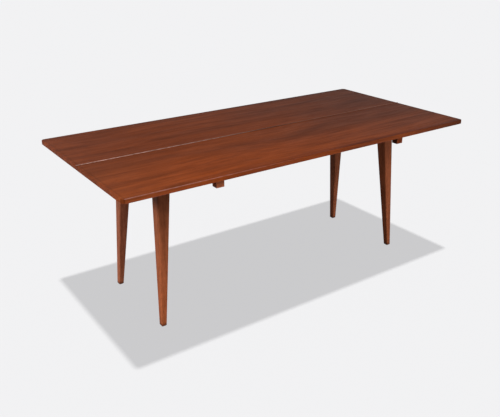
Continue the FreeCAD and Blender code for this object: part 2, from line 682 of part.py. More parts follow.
def stop_screws(label):
    """Screws that hold the stop blocks to the runners, driven from below."""
    upright = FreeCAD.Rotation()
    screws = []
    z = "(%s - runner_high - stop_high + stop_seat)" % UNDERSIDE
    for side_name, side in SIDES:
        for i, way in enumerate((-1, 1)):
            y = "(%s + %d * stop_long / 4)" % (STOP_Y, way)
            place = ("%d * %s" % (side, RUNNER_X), y, z)
            name = "%s_%s_%d" % (label, side_name, i)
            screws.append(screw_solid(name, place, upright, "stop_screw_long"))
    screw_group(label, screws)


def hinge_pin(label):
    """Pin through all the knuckles."""
    pin = doc.addObject("Part::Cylinder", label)
    pin.Label = label
    bind(pin, "Radius", "pin_radius")
    bind(pin, "Height", HINGE_LONG)
    place = ("(-%s / 2)" % HINGE_LONG, "0", HINGE_Z)
    pin.Placement = FreeCAD.Placement(
        FreeCAD.Vector(*[number(text) for text in place]),
        FreeCAD.Rotation(FreeCAD.Vector(0, 1, 0), 90.0),
    )
    for axis, text in zip("xyz", place):
        bind(pin, "Placement.Base." + axis, text)
    pieces.append(pin)


for side_name, side in SIDES:
    for end_name, end in ENDS:
        leg("leg_%s_%s" % (end_name, side_name), side, end)
        glide("glide_%s_%s" % (end_name, side_name), side, end)
        brace("brace_%s_%s" % (end_name, side_name), side, end)
    end_apron("apron_%s" % side_name, side)
    guide("guide_%s_outer" % side_name, side, 1)
    guide("guide_%s_inner" % side_name, side, -1)
    felt("felt_%s" % side_name, "%d * %s" % (side, APRON_X), "0", "felt_wide", END_SPAN)
    runner("runner_%s" % side_name, side)
    stop_block("stop_block_%s" % side_name, side)

long_apron("apron_front", -1)
long_apron("apron_rear", 1)
centre_rail("centre_rail")
between = "(2 * (%s - %s - guide_wide))" % (RUNNER_X, GUIDE_OFF)
felt("felt_front", "0", "-1 * %s" % APRON_Y, between, "felt_wide")
felt("felt_rear", "0", APRON_Y, LONG_SPAN, "felt_wide")
brace_screws("brace_screws")

runner_holes(leaf("front_leaf", -1))
leaf("rear_leaf", 1)
runner_screws("runner_screws")
stop_screws("stop_screws")
hinge_flange("hinge_front_flange", -1, (KNUCKLE_COUNT + 1) // 2, 0)
hinge_flange("hinge_rear_flange", 1, KNUCKLE_COUNT // 2, 1)
hinge_screws("hinge_front_screws", -1)
hinge_screws("hinge_rear_screws", 1)
hinge_pin("hinge_pin")

doc.recompute()
for item in doc.Objects:
    if "Invalid" in item.State or "Error" in item.State:
        raise RuntimeError("%s: %s" % (item.Label, item.State))

os.makedirs("parts", exist_ok=True)
for piece in pieces:
    if piece.Shape.isNull() or not piece.Shape.isValid():
        raise RuntimeError(piece.Label + " has no valid shape")
    piece.Shape.exportStep("parts/%s.step" % piece.Label)
    print("%s: %d solids, %.1f cm3" % (piece.Label, len(piece.Shape.Solids), piece.Shape.Volume / 1000))
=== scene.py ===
"""Looks of the flip-top dining table: wood, metal and felt finishes, studio light and the camera."""

import functools
import logging
import math
from dataclasses import dataclass
from enum import Enum
from typing import Any

import bmesh
import bpy
from mathutils import Euler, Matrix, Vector, noise


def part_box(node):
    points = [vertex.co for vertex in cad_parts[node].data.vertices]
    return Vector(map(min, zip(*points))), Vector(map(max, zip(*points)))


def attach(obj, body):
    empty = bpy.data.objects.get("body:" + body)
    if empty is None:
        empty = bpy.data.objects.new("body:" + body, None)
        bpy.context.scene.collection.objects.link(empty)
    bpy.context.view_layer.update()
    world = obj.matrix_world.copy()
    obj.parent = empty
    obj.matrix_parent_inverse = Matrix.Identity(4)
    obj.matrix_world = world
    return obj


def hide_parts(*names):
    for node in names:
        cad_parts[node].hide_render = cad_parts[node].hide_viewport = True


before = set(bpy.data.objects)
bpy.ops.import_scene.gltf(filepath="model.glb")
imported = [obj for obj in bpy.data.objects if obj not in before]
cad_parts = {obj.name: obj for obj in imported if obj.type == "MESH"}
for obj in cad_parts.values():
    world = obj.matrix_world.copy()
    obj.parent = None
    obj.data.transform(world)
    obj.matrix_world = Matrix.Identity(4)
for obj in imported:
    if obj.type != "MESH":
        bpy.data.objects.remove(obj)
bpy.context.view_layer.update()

Triple = tuple[float, float, float]
Colour = Triple
Span = tuple[float, float]
Outline = list[tuple[float, float]]
Ring = list[bmesh.types.BMVert]
Socket = bpy.types.NodeSocket
Material = bpy.types.Material
Object = bpy.types.Object
Mesh = bmesh.types.BMesh

LOG = logging.getLogger("table")
ORIGIN: Triple = (0.0, 0.0, 0.0)
MOST_NOISE: Span = (0.3, 0.7)  # where most values of a noise lie
EDGE_COSINES: Span = (0.995, 0.80)  # of a rounded normal's turn, from flat to edge
EDGE_SAMPLES = 4
MICRONS = 1e6


class Grain(Enum):
    """Way that the grain of wood, or the draw lines of metal, run in a piece."""

    LENGTH = 0
    DEPTH = 1
    HEIGHT = 2


class Lit(Enum):
    """What a lamp of the studio lights."""

    FLOOR_ONLY = "INCLUDE"
    ALL_BUT_FLOOR = "EXCLUDE"


@dataclass(frozen=True)
class Pattern:
    """Noise of one size, in repeats per metre along and across the grain."""

    along: float
    across: float
    octaves: float
    rough: float = 0.55
    bend: float = 0.0

    def scale(self, grain: Grain) -> Triple:
        """Repeats per metre along X, Y and Z, for a way of the grain."""
        return tuple(self.along if axis is grain else self.across for axis in Grain)


def scaled(colour: Colour, gain: float) -> Colour:
    """A colour, lighter or darker by a gain."""
    return tuple(value * gain for value in colour)


class NodeGraph:
    """Nodes of one material or world, with short calls that add and join them."""

    def __init__(self, owner: Material | bpy.types.World, grain: Grain = Grain.LENGTH) -> None:
        """Start without nodes.

        Args:
            owner: The material or the world.
            grain: Way of the grain.
        """
        owner.use_nodes = True
        self.owner = owner
        self.grain = grain
        self.tree = owner.node_tree
        self.tree.nodes.clear()

    @classmethod
    def material(cls, name: str, grain: Grain = Grain.LENGTH) -> "NodeGraph":
        """Nodes of a new material of that name."""
        return cls(bpy.data.materials.new(name), grain)

    def add(self, kind: str, *values: Any, **named: Any) -> bpy.types.Node:
        """Add a node.

        Args:
            kind: Type of the node, without its common prefix.
            values: Values or sockets for its first inputs, in order.
            named: The node's own settings, and other inputs by name, with spaces as underscores.

        Returns:
            The new node.
        """
        node = self.tree.nodes.new("ShaderNode" + kind)
        for socket, value in zip(node.inputs, values):
            self.feed(socket, value)
        for name, value in named.items():
            if hasattr(node, name):
                setattr(node, name, value)
            else:
                self.feed(node.inputs[name.replace("_", " ")], value)
        return node

    def feed(self, socket: Socket, value: Any) -> None:
        """Set an input to a value, or join it to an output.

        Args:
            socket: The input.
            value: A number, a tuple or an output socket.
        """
        if isinstance(value, Socket):
            self.tree.links.new(value, socket)
        elif isinstance(value, tuple) and socket.type == "RGBA":
            socket.default_value = (*value, 1.0)
        else:
            socket.default_value = value

    def math(self, operation: str, first: Any, second: Any = 0.0) -> Socket:
        """Result of an operation on numbers or outputs."""
        return self.add("Math", first, second, operation=operation).outputs[0]

    def times(self, *factors: Any) -> Socket:
        """Multiply numbers or outputs, in order."""
        return functools.reduce(functools.partial(self.math, "MULTIPLY"), factors)

    def largest(self, *values: Any) -> Socket:
        """Largest of numbers or outputs."""
        return functools.reduce(functools.partial(self.math, "MAXIMUM"), values)

    def span(self, value: Any, low: float, high: float, start: float = 0.0, end: float = 1.0) -> Socket:
        """Map a value from low to high onto the span from start to end, held at both ends."""
        node = self.add("MapRange", Value=value, From_Min=low, From_Max=high, To_Min=start, To_Max=end)
        return node.outputs[0]

    def vary(self, value: Socket, start: float, end: float) -> Socket:
        """Map the span in which most of a noise lies to another one."""
        return self.span(value, *MOST_NOISE, start, end)

    def mix(self, factor: Any, first: Any, second: Any, blend: str = "MIX") -> Socket:
        """Mix two colours.

        Args:
            factor: Share of the second colour.
            first: First colour.
            second: Second colour.
            blend: Way of mixing.

        Returns:
            The mixed colour.
        """
        node = self.add("Mix", factor, data_type="RGBA", blend_type=blend)
        # The sockets for colours come after those for numbers and vectors.
        self.feed(node.inputs[6], first)
        self.feed(node.inputs[7], second)
        return node.outputs[2]

    def tint(self, colour: Any, tint: Any) -> Socket:
        """Multiply a colour by a tint."""
        return self.mix(1.0, colour, tint, "MULTIPLY")

    def shade(self, colour: Any, gain: Socket) -> Socket:
        """Multiply a colour by an even gain."""
        return self.tint(colour, self.add("CombineColor", gain, gain, gain).outputs[0])

    def ramp(self, value: Any, stops: list[tuple[float, Colour]]) -> Socket:
        """Turn a value into a colour.

        Args:
            value: The value.
            stops: Places and colours, in order.

        Returns:
            The colour.
        """
        node = self.add("ValToRGB", value)
        elements = node.color_ramp.elements
        while len(elements) < len(stops):
            elements.new(0.5)
        for element, (place, colour) in zip(elements, stops):
            element.position = place
            element.color = (*colour, 1.0)
        return node.outputs[0]

    def axes(self, coordinate: str = "Object") -> tuple[Socket, Socket, Socket]:
        """Parts along X, Y and Z of the piece's own points, or of its normals."""
        node = self.add("SeparateXYZ", Vector=self.add("TexCoord").outputs[coordinate])
        return tuple(node.outputs)

    def noise(self, pattern: Pattern, shift: Triple = ORIGIN, place: Socket | None = None) -> Socket:
        """Noise in the piece's own space.

        Args:
            pattern: Its size and roughness.
            shift: Shift, so that pieces differ.
            place: Points to take it at, where they aren't the piece's own.

        Returns:
            The noise value.
        """
        if place is None:
            place = self.add("TexCoord").outputs["Object"]
        mapping = self.add("Mapping", Vector=place, Scale=pattern.scale(self.grain), Location=shift)
        layers = {"Detail": pattern.octaves, "Roughness": pattern.rough, "Distortion": pattern.bend}
        return self.add("TexNoise", Vector=mapping.outputs[0], Scale=1.0, **layers).outputs[0]

    def wander(self, pattern: Pattern, shift: Triple, reach: float) -> Socket:
        """Points that wander off the piece's own, so that straight grain sways.

        Args:
            pattern: Size of the sways.
            shift: Shift, so that pieces differ.
            reach: Largest sway, in metres.

        Returns:
            The points.
        """
        sway = self.times(self.math("SUBTRACT", self.noise(pattern, shift), 0.5), reach)
        step = self.add("CombineXYZ", sway, sway, sway).outputs[0]
        return self.add("VectorMath", self.add("TexCoord").outputs["Object"], step).outputs[0]

    def edges(self, radius: float) -> Socket:
        """Mask of the surface close to an edge.

        Args:
            radius: Width of the edge, in metres.

        Returns:
            0 on flat faces, towards 1 at edges.
        """
        bevel = self.add("Bevel", Radius=radius, samples=EDGE_SAMPLES).outputs[0]
        normal = self.add("NewGeometry").outputs["Normal"]
        dot = self.add("VectorMath", bevel, normal, operation="DOT_PRODUCT")
        return self.span(dot.outputs["Value"], *EDGE_COSINES)

    def surface(self, height: Socket, relief: Span, **inputs: Any) -> Material:
        """Close a material with one bumpy shader.

        Args:
            height: Height of the bumps.
            relief: Strength of the bumps, and their height in metres.
            inputs: Inputs of the shader, with spaces in their names as underscores.

        Returns:
            The material.
        """
        strength, distance = relief
        bump = self.add("Bump", Strength=strength, Distance=distance, Height=height)
        return self.finish(self.add("BsdfPrincipled", Normal=bump.outputs[0], **inputs))

    def finish(self, shader: bpy.types.Node, output: str = "OutputMaterial") -> Any:
        """Join a shader to an output of that type, and give back the material or the world."""
        self.add(output, Surface=shader.outputs[0])
        return self.owner


@dataclass(frozen=True)
class EdgeStrip:
    """Solid strip round the top, with a glue line, a dark border, painted light and shade on its side and
    end faces, and a painted highlight on its front arris.
    """

    half_length: float
    half_depth: float
    height: float
    radius: float = 0.003
    skin_in: Span = (0.0016, 0.0006)
    # painted light and shade: the side faces are lighter and greyer at the left and darker towards the
    # right, as the light falls off
    side_light_tints: tuple[tuple[float, Colour], ...] = (
        (-0.95, (1.65, 1.80, 2.2)),
        (-0.30, (0.92, 1.08, 3.7)),
        (0.45, (0.92, 1.06, 1.75)),
        (0.95, (0.60, 0.68, 0.8)),
    )
    # painted shade on the end faces
    end_shade_gain: float = 0.93
    joint_in: float = 0.011
    joint_half: float = 0.006
    joint_gain: float = 0.74
    end_joint_gain: float = 0.83
    border_in: Span = (0.045, 0.004)
    border_along: Span = (-0.85, 0.25)
    border_tint: Colour = (0.58, 0.46, 0.34)
    # painted highlight: a pale glint on the front arris, strongest at the left and thinning out to the right
    # in dashes
    rubbed_and_highlight: Colour = (0.33, 0.160, 0.135)
    highlight_share: float = 0.95
    highlight_along: Span = (-0.65, -0.10)
    highlight_turn: Span = (0.1, 0.4)
    dashes: Pattern = Pattern(42.0, 0.0, 3.0, 0.65)
    dash_span: Span = (0.38, 0.58)
    dash_least: float = 0.35

    def dress(self, graph: NodeGraph, colour: Socket) -> Socket:
        """Add the strip to a leaf's colour.

        Args:
            graph: The material's nodes.
            colour: Colour of the leaf.

        Returns:
            Colour with the strip.
        """
        along, depth, up = graph.axes()
        from_seam = graph.math("ABSOLUTE", depth)
        from_middle = graph.math("ABSOLUTE", along)
        colour = self.glue_line(graph, colour, from_seam, self.half_depth, self.joint_gain)
        colour = self.glue_line(graph, colour, from_middle, self.half_length, self.end_joint_gain)
        border = self.mask(graph, from_seam, self.half_depth, self.border_in)
        border = graph.times(border, graph.span(along, *self.border_along))
        top = graph.mix(border, colour, graph.tint(colour, self.border_tint))
        # side faces: painted light and shade along the top
        stops = [((at + self.half_length) / (2.0 * self.half_length), tint) for at, tint in self.side_light_tints]
        side = graph.tint(colour, graph.ramp(graph.span(along, -self.half_length, self.half_length), stops))
        colour = graph.mix(self.mask(graph, from_seam, self.half_depth, self.skin_in), top, side)
        end = self.mask(graph, from_middle, self.half_length, self.skin_in)
        # end faces: painted shade
        colour = graph.shade(colour, graph.span(end, 0.0, 1.0, 1.0, self.end_shade_gain))
        # painted highlight on the front arris
        return graph.mix(self.highlight_mask(graph, along, from_seam, up), colour, self.rubbed_and_highlight)

    def mask(self, graph: NodeGraph, away: Socket, half: float, inset: Span) -> Socket:
        """Mask that starts one inset from an edge of the top and is full at the other inset."""
        start, full = inset
        return graph.span(away, half - start, half - full)

    def glue_line(self, graph: NodeGraph, colour: Socket, away: Socket, half: float, gain: float) -> Socket:
        """Darken the line where the strip is glued on, along an edge half the top's size away."""
        off = graph.math("ABSOLUTE", graph.math("SUBTRACT", away, half - self.joint_in))
        return graph.shade(colour, graph.span(off, 0.0, self.joint_half, gain, 1.0))

    def highlight_mask(self, graph: NodeGraph, along: Socket, away: Socket, up: Socket) -> Socket:
        """Share of the painted highlight at a point of the arris, in dashes that thin out to the right.

        Args:
            graph: The material's nodes.
            along: Place along the top.
            away: Distance from the seam.
            up: Height above the floor.

        Returns:
            The share, from 0 to 1.
        """
        flat, low = self.half_depth - self.radius, self.height - self.radius
        start, full = (turn * self.radius for turn in self.highlight_turn)
        band = graph.span(away, flat + start, flat + full)
        high = graph.span(up, low, low + full)
        share = graph.span(along, *self.highlight_along, self.highlight_share, 0.0)
        dashes = graph.noise(self.dashes)
        return graph.times(band, high, share, graph.span(dashes, *self.dash_span, self.dash_least, 1.0))


@dataclass(frozen=True)
class LeafTone:
    """Slow change of tone over a leaf: its ends, the veneer sheet next to the seam and one dark streak; the
    darker, greyer right end is painted shade and painted sheen.
    """

    left: Colour
    middle: Colour
    right: Colour
    at_seam: float = 1.0
    streak_y: float = 0.0
    streak_gain: float = 1.0
    left_along: Span = (-0.95, -0.55)
    right_along: Span = (0.05, 0.95)
    sheet_edge: Span = (0.17, 0.27)
    streak_edge: Span = (0.015, 0.07)
    streak_along: Span = (-0.15, 0.15)

    def dress(self, graph: NodeGraph, colour: Socket) -> Socket:
        """Add the tones to a leaf's colour.

        Args:
            graph: The material's nodes.
            colour: Colour of the wood.

        Returns:
            Colour with the tones.
        """
        along, depth, _ = graph.axes()
        tint = graph.mix(graph.span(along, *self.left_along, 1.0, 0.0), self.middle, self.left)
        # painted shade and sheen: the right end darker and greyer
        tint = graph.mix(graph.span(along, *self.right_along), tint, self.right)
        gain = graph.span(graph.math("ABSOLUTE", depth), *self.sheet_edge, self.at_seam, 1.0)
        if self.streak_gain < 1.0:
            off = graph.math("ABSOLUTE", graph.math("SUBTRACT", depth, self.streak_y))
            streak = graph.span(off, *self.streak_edge, 1.0, 0.0)
            streak = graph.times(streak, graph.span(along, *self.streak_along))
            gain = graph.times(gain, graph.span(streak, 0.0, 1.0, 1.0, self.streak_gain))
        return graph.shade(graph.tint(colour, tint), gain)


@dataclass(frozen=True)
class WoodFinish:
    """Lacquered or plain wood with figure, streaks, pores and edges lightened partly by rubbing and partly
    as painted highlight.
    """

    name: str
    grain: Grain
    dark: Colour
    mid: Colour
    light: Colour
    rubbed_and_highlight: Colour
    shift: Triple = ORIGIN
    roughness: float = 0.46
    specular: float = 0.03
    # lighter edges: partly rubbing, partly painted highlight
    wear_and_highlight: float = 0.35
    foot_darkening: float = 0.0
    # painted light and shade along a leg: darker high up, lighter towards the foot
    fade: float = 0.0
    bleach: Colour = (1.0, 0.85, 0.6)
    sway: float = 0.02
    # painted shade on the side faces of a runner
    side_gain: float = 1.0
    mottle: float = 0.0
    tone: LeafTone | None = None
    strip: EdgeStrip | None = None
    sways: Pattern = Pattern(1.1, 2.6, 1.0)
    figure: Pattern = Pattern(1.6, 13.0, 3.0, 0.5, 0.8)
    streaks: Pattern = Pattern(3.4, 62.0, 6.0, 0.62, 0.3)
    threads: Pattern = Pattern(11.0, 380.0, 3.0, 0.6)
    shares: Triple = (0.38, 0.42, 0.20)
    stops: Triple = (0.365, 0.50, 0.635)
    drift: Pattern = Pattern(1.3, 1.3, 2.0)
    drift_reach: float = 0.10
    pores: Pattern = Pattern(24.0, 820.0, 1.0, 0.4)
    pore_span: Span = (0.60, 0.70)
    pore_gain: float = 0.55
    pore_share: float = 0.45
    arris: float = 0.0035
    rubs: Pattern = Pattern(3.0, 9.0, 4.0, 0.7)
    rub_span: Span = (0.35, 0.65)
    rub_least: float = 0.35
    clouds: Pattern = Pattern(42.0, 70.0, 3.0, 0.6)
    gloss_reach: float = 0.06
    rub_gloss: float = 0.10
    thread_height: float = 0.4
    relief: Span = (0.10, 0.0004)
    # tint of the painted shade high on a leg
    upper_shade_tint: Colour = (-0.6, -0.5, -0.4)
    foot_light_heights: Span = (0.62, 0.12)
    foot_dark_heights: Span = (0.006, 0.022)
    darkening_gain: float = 0.4
    side_turn: Span = (0.5, 0.9)

    def build(self) -> Material:
        """Make the material.

        Returns:
            The material.
        """
        graph = NodeGraph.material(self.name, self.grain)
        sway = graph.wander(self.sways, self.shift, self.sway)
        swaying = (self.figure, self.streaks, self.threads)
        figure, streak, thread = [graph.noise(layer, self.shift, sway) for layer in swaying]
        straight = (self.drift, self.pores, self.rubs)
        drift, pore, rub = [graph.noise(layer, self.shift) for layer in straight]
        parts = [graph.times(part, share) for part, share in zip((figure, streak, thread), self.shares)]
        tone = graph.math("ADD", graph.math("ADD", parts[0], parts[1]), parts[2])
        colour = graph.ramp(tone, list(zip(self.stops, (self.dark, self.mid, self.light))))
        colour = graph.shade(colour, graph.vary(drift, 1.0 - self.drift_reach, 1.0 + self.drift_reach))
        pore = graph.span(pore, *self.pore_span)
        colour = graph.mix(graph.times(pore, self.pore_share), colour, scaled(self.dark, self.pore_gain))
        rub = graph.span(rub, *self.rub_span, self.rub_least, 1.0)
        # edges lighter, partly from rubbing and partly as painted highlight
        worn_and_highlight = graph.times(graph.edges(self.arris), rub, self.wear_and_highlight)
        colour = self.age(graph, graph.mix(worn_and_highlight, colour, self.rubbed_and_highlight))
        rough = graph.vary(streak, self.roughness + self.gloss_reach, self.roughness - self.gloss_reach)
        rough = graph.math("SUBTRACT", rough, graph.times(worn_and_highlight, self.rub_gloss))
        height = graph.math("SUBTRACT", graph.times(thread, self.thread_height), pore)
        looks = {"Base_Color": colour, "Roughness": rough, "Specular_IOR_Level": self.specular}
        return graph.surface(height, self.relief, **looks)

    def age(self, graph: NodeGraph, colour: Socket) -> Socket:
        """Add what only some pieces have: leaf tones with painted shade, painted light and shade along a
        leg, clouds, a darker foot, painted shade on the sides, a strip.

        Args:
            graph: The material's nodes.
            colour: Colour of the wood.

        Returns:
            Colour with all of these.
        """
        if self.tone is not None:
            colour = self.tone.dress(graph, colour)
        if self.fade != 0.0:
            colour = self.paint_foot_light(graph, colour)
        if self.mottle > 0.0:
            cloud = graph.noise(self.clouds, self.shift)
            colour = graph.shade(colour, graph.vary(cloud, 1.0 - self.mottle, 1.0 + self.mottle))
        if self.foot_darkening > 0.0:
            colour = self.darken_foot(graph, colour)
        if self.side_gain != 1.0:
            colour = self.shade_sides(graph, colour)
        if self.strip is not None:
            colour = self.strip.dress(graph, colour)
        return colour

    def paint_foot_light(self, graph: NodeGraph, colour: Socket) -> Socket:
        """Paint light and shade along a leg: darker high up, where the top shades it, and lighter towards
        its foot.
        """
        ends = [tuple(1.0 + share * self.fade for share in end) for end in (self.upper_shade_tint, self.bleach)]
        return graph.tint(colour, graph.mix(graph.span(graph.axes()[2], *self.foot_light_heights), *ends))

    def darken_foot(self, graph: NodeGraph, colour: Socket) -> Socket:
        """Darken the lowest few millimetres of a leg's foot."""
        low = graph.span(graph.axes()[2], *self.foot_dark_heights, self.foot_darkening, 0.0)
        return graph.mix(low, colour, scaled(self.dark, self.darkening_gain))

    def shade_sides(self, graph: NodeGraph, colour: Socket) -> Socket:
        """Darken the faces that run along the guides, as painted shade: they lie in shadow under the top."""
        side = graph.math("ABSOLUTE", graph.axes("Normal")[0])
        return graph.shade(colour, graph.span(side, *self.side_turn, 1.0, self.side_gain))


@dataclass(frozen=True)
class MetalFinish:
    """Metal with fine draw lines, spots of tarnish and brighter edges."""

    name: str
    colour: Colour
    tarnish: Colour
    roughness: float
    # painted shade: the hinge is dark from here to its right end, reaching the wood's tone
    shaded_right_to: float | None = None
    spots: Pattern = Pattern(60.0, 60.0, 5.0, 0.65)
    spot_shift: Triple = (0.3, 0.1, 0.7)
    spot_span: Span = (0.42, 0.68)
    spot_share: float = 0.8
    lines: Pattern = Pattern(30.0, 900.0, 2.0)
    relief: Span = (0.12, 0.0001)
    gloss: Span = (-0.05, 0.12)
    edge: float = 0.0008
    edge_share: float = 0.6
    edge_gain: float = 1.5
    left_along: Span = (-0.93, -0.72)
    left_share: float = 0.5
    right_wide: float = 0.55
    right_shade_wide: float = 0.25
    right_shade_colour: Colour = (0.155, 0.058, 0.035)
    dashes: Pattern = Pattern(38.0, 0.0, 2.0, 0.6)
    dash_span: Span = (0.40, 0.62)
    dash_share: float = 0.7
    knuckle_low: float = 0.7375
    knuckle_skin: float = 0.001
    darkening_gain: float = 0.30

    def build(self) -> Material:
        """Make the material.

        Returns:
            The material.
        """
        graph = NodeGraph.material(self.name)
        spots = graph.noise(self.spots, self.spot_shift)
        lines = graph.noise(self.lines)
        tarnished = graph.span(spots, *self.spot_span, 0.0, self.spot_share)
        colour = graph.mix(tarnished, self.colour, self.tarnish)
        if self.shaded_right_to is not None:
            colour = self.shade_and_tarnish_ends(graph, colour)
        bright = tuple(min(1.0, value) for value in scaled(self.colour, self.edge_gain))
        colour = graph.mix(graph.times(graph.edges(self.edge), self.edge_share), colour, bright)
        rough = graph.vary(spots, *(self.roughness + change for change in self.gloss))
        return graph.surface(lines, self.relief, Base_Color=colour, Roughness=rough, Metallic=1.0)

    def shade_and_tarnish_ends(self, graph: NodeGraph, colour: Socket) -> Socket:
        """Darken the knuckles of a long hinge: tarnish in dashes and at its left end, and painted shade over
        all of its right part, where the hinge shows no reflection.

        Args:
            graph: The material's nodes.
            colour: Colour of the metal.

        Returns:
            Colour with the tarnish.
        """
        along, _, up = graph.axes()
        left = graph.span(along, *self.left_along, self.left_share, 0.0)
        right = graph.span(along, self.shaded_right_to - self.right_wide, self.shaded_right_to)
        dash = graph.span(graph.noise(self.dashes), *self.dash_span, 0.0, self.dash_share)
        share = graph.largest(left, right, dash)
        open_air = graph.span(up, self.knuckle_low, self.knuckle_low + self.knuckle_skin)
        # painted shade: beyond that point the knuckles take the wood's dark tone
        right_shade = graph.span(along, self.shaded_right_to, self.shaded_right_to + self.right_shade_wide)
        dark_colour = graph.mix(right_shade, scaled(self.tarnish, self.darkening_gain), self.right_shade_colour)
        return graph.mix(graph.times(share, open_air), colour, dark_colour)


@dataclass(frozen=True)
class FeltFinish:
    """Pressed felt with a short nap."""

    name: str
    colour: Colour
    nap: Colour
    fibres: Pattern = Pattern(700.0, 700.0, 6.0, 0.75, 0.5)
    patches: Pattern = Pattern(25.0, 25.0, 3.0)
    patch_shift: Triple = (0.4, 0.2, 0.1)
    shares: Span = (0.7, 0.3)
    stops: Span = (0.35, 0.68)
    relief: Span = (0.5, 0.0006)
    rough: Span = (0.88, 1.0)
    sheen: float = 0.25
    specular: float = 0.1

    def build(self) -> Material:
        """Make the material.

        Returns:
            The material.
        """
        graph = NodeGraph.material(self.name)
        fibre = graph.noise(self.fibres)
        patch = graph.noise(self.patches, self.patch_shift)
        fine, broad = [graph.times(part, share) for part, share in zip((fibre, patch), self.shares)]
        colour = graph.ramp(graph.math("ADD", fine, broad), list(zip(self.stops, (self.colour, self.nap))))
        looks = {"Base_Color": colour, "Roughness": graph.vary(fibre, *self.rough)}
        looks |= {"Sheen_Weight": self.sheen, "Specular_IOR_Level": self.specular}
        return graph.surface(fibre, self.relief, **looks)


@dataclass(frozen=True)
class PlasticFinish:
    """Hard moulded plastic, scuffed where it meets the floor."""

    name: str
    colour: Colour
    scuff: Colour
    roughness: float
    grain: Pattern = Pattern(1500.0, 1500.0, 2.0)
    marks: Pattern = Pattern(90.0, 220.0, 5.0, 0.7)
    mark_shift: Triple = (0.2, 0.5, 0.0)
    mark_span: Span = (0.52, 0.70)
    mark_share: float = 0.7
    gloss: Span = (-0.05, 0.2)
    relief: Span = (0.15, 0.0002)

    def build(self) -> Material:
        """Make the material.

        Returns:
            The material.
        """
        graph = NodeGraph.material(self.name, Grain.DEPTH)
        grain = graph.noise(self.grain)
        marks = graph.noise(self.marks, self.mark_shift)
        scuffed = graph.span(marks, *self.mark_span, 0.0, self.mark_share)
        colour = graph.mix(scuffed, self.colour, self.scuff)
        rough = graph.vary(marks, *(self.roughness + change for change in self.gloss))
        return graph.surface(grain, self.relief, Base_Color=colour, Roughness=rough)


def cover(piece: Object, material: Material) -> None:
    """Give a piece its finish and say so.

    Args:
        piece: The piece.
        material: The finish.
    """
    if not piece.material_slots:
        piece.data.materials.append(material)
    for place in piece.material_slots:
        place.material = material
    LOG.info("%s: %s", piece.name, material.name)


def dress(node: str, material: Material) -> None:
    """Give a CAD node its finish."""
    cover(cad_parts[node], material)


def add_object(name: str, data: bpy.types.ID) -> Object:
    """Put a mesh, a lamp or a camera in the scene.

    Args:
        name: Name of the object.
        data: Its mesh, lamp or camera.

    Returns:
        The object.
    """
    made = bpy.data.objects.new(name, data)
    bpy.context.scene.collection.objects.link(made)
    return made


def place_mesh(name: str, mesh: Mesh) -> Object:
    """Make a piece of a finished mesh, with smooth faces that look outwards.

    Args:
        name: Name of the piece.
        mesh: The mesh, which is freed.

    Returns:
        The piece.
    """
    bmesh.ops.recalc_face_normals(mesh, faces=mesh.faces)
    data = bpy.data.meshes.new(name)
    for face in mesh.faces:
        face.smooth = True
    mesh.to_mesh(data)
    mesh.free()
    return add_object(name, data)


def bridge(mesh: Mesh, upper: Ring, lower: Ring) -> None:
    """Join two closed rings of as many points with faces.

    Args:
        mesh: The mesh.
        upper: One ring.
        lower: The other ring.
    """
    for number, point in enumerate(upper):
        after = (number + 1) % len(upper)
        mesh.faces.new([point, upper[after], lower[after], lower[number]])


def loft(name: str, rings: list[list[Vector]]) -> Object:
    """Make a closed piece through rings of points.

    Args:
        name: Name of the piece.
        rings: Rings of as many points, in order.

    Returns:
        The piece.
    """
    mesh = bmesh.new()
    made = [[mesh.verts.new(point) for point in ring] for ring in rings]
    for upper, lower in zip(made, made[1:]):
        bridge(mesh, upper, lower)
    mesh.faces.new(made[0])
    mesh.faces.new(made[-1])
    return place_mesh(name, mesh)


def clusters(node: str) -> list[list[Vector]]:
    """Points of each separate solid of a CAD node.

    Args:
        node: Name of the node.

    Returns:
        One list of points for each solid.
    """
    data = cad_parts[node].data
    keys = [tuple(round(value * MICRONS) for value in vertex.co) for vertex in data.vertices]
    root = {key: key for key in keys}

    def top(key: tuple[int, ...]) -> tuple[int, ...]:
        """Point that stands for all those joined to one.

        Args:
            key: The point.

        Returns:
            The point that stands for it.
        """
        while root[key] != key:
            root[key] = root[root[key]]
            key = root[key]
        return key

    for face in data.polygons:
        first = top(keys[face.vertices[0]])
        for number in face.vertices[1:]:
            root[top(keys[number])] = first
    groups: dict[tuple[int, ...], list[Vector]] = {}
    for key in sorted(set(keys)):
        groups.setdefault(top(key), []).append(Vector(key) / MICRONS)
    return list(groups.values())


@dataclass
class Palette:
    """Colours of the reddish-brown wood, from its darkest streaks to its arrises, lightened partly by
    rubbing and partly as painted highlight.
    """

    dark: Colour = (0.126, 0.0235, 0.0034)
    mid: Colour = (0.222, 0.0405, 0.0050)
    light: Colour = (0.306, 0.0580, 0.0064)
    # colour of the edges, lightened by rubbing and as painted highlight
    rubbed_and_highlight: Colour = (0.46, 0.20, 0.125)

    def wood(self, name: str, grain: Grain, gain: float = 1.0, **more: Any) -> WoodFinish:
        """A finish in these colours, lighter or darker by the gain, with other fields as given."""
        tones = [scaled(tone, gain) for tone in (self.dark, self.mid, self.light)]
        return WoodFinish(name, grain, *tones, self.rubbed_and_highlight, **more)


@dataclass
class RailWood(Palette):
    """Pale unfinished wood of the rails that never show."""

    dark: Colour = (0.26, 0.145, 0.070)
    mid: Colour = (0.40, 0.245, 0.130)
    light: Colour = (0.50, 0.330, 0.190)
    rubbed_and_highlight: Colour = (0.50, 0.36, 0.24)
    roughness: float = 0.68
    specular: float = 0.2
    wear_and_highlight: float = 0.2

    def build(self, name: str, grain: Grain) -> Material:
        """Make the material of a rail whose grain runs that way."""
        plain = {"roughness": self.roughness, "specular": self.specular, "wear_and_highlight": self.wear_and_highlight}
        return self.wood(name, grain, **plain).build()


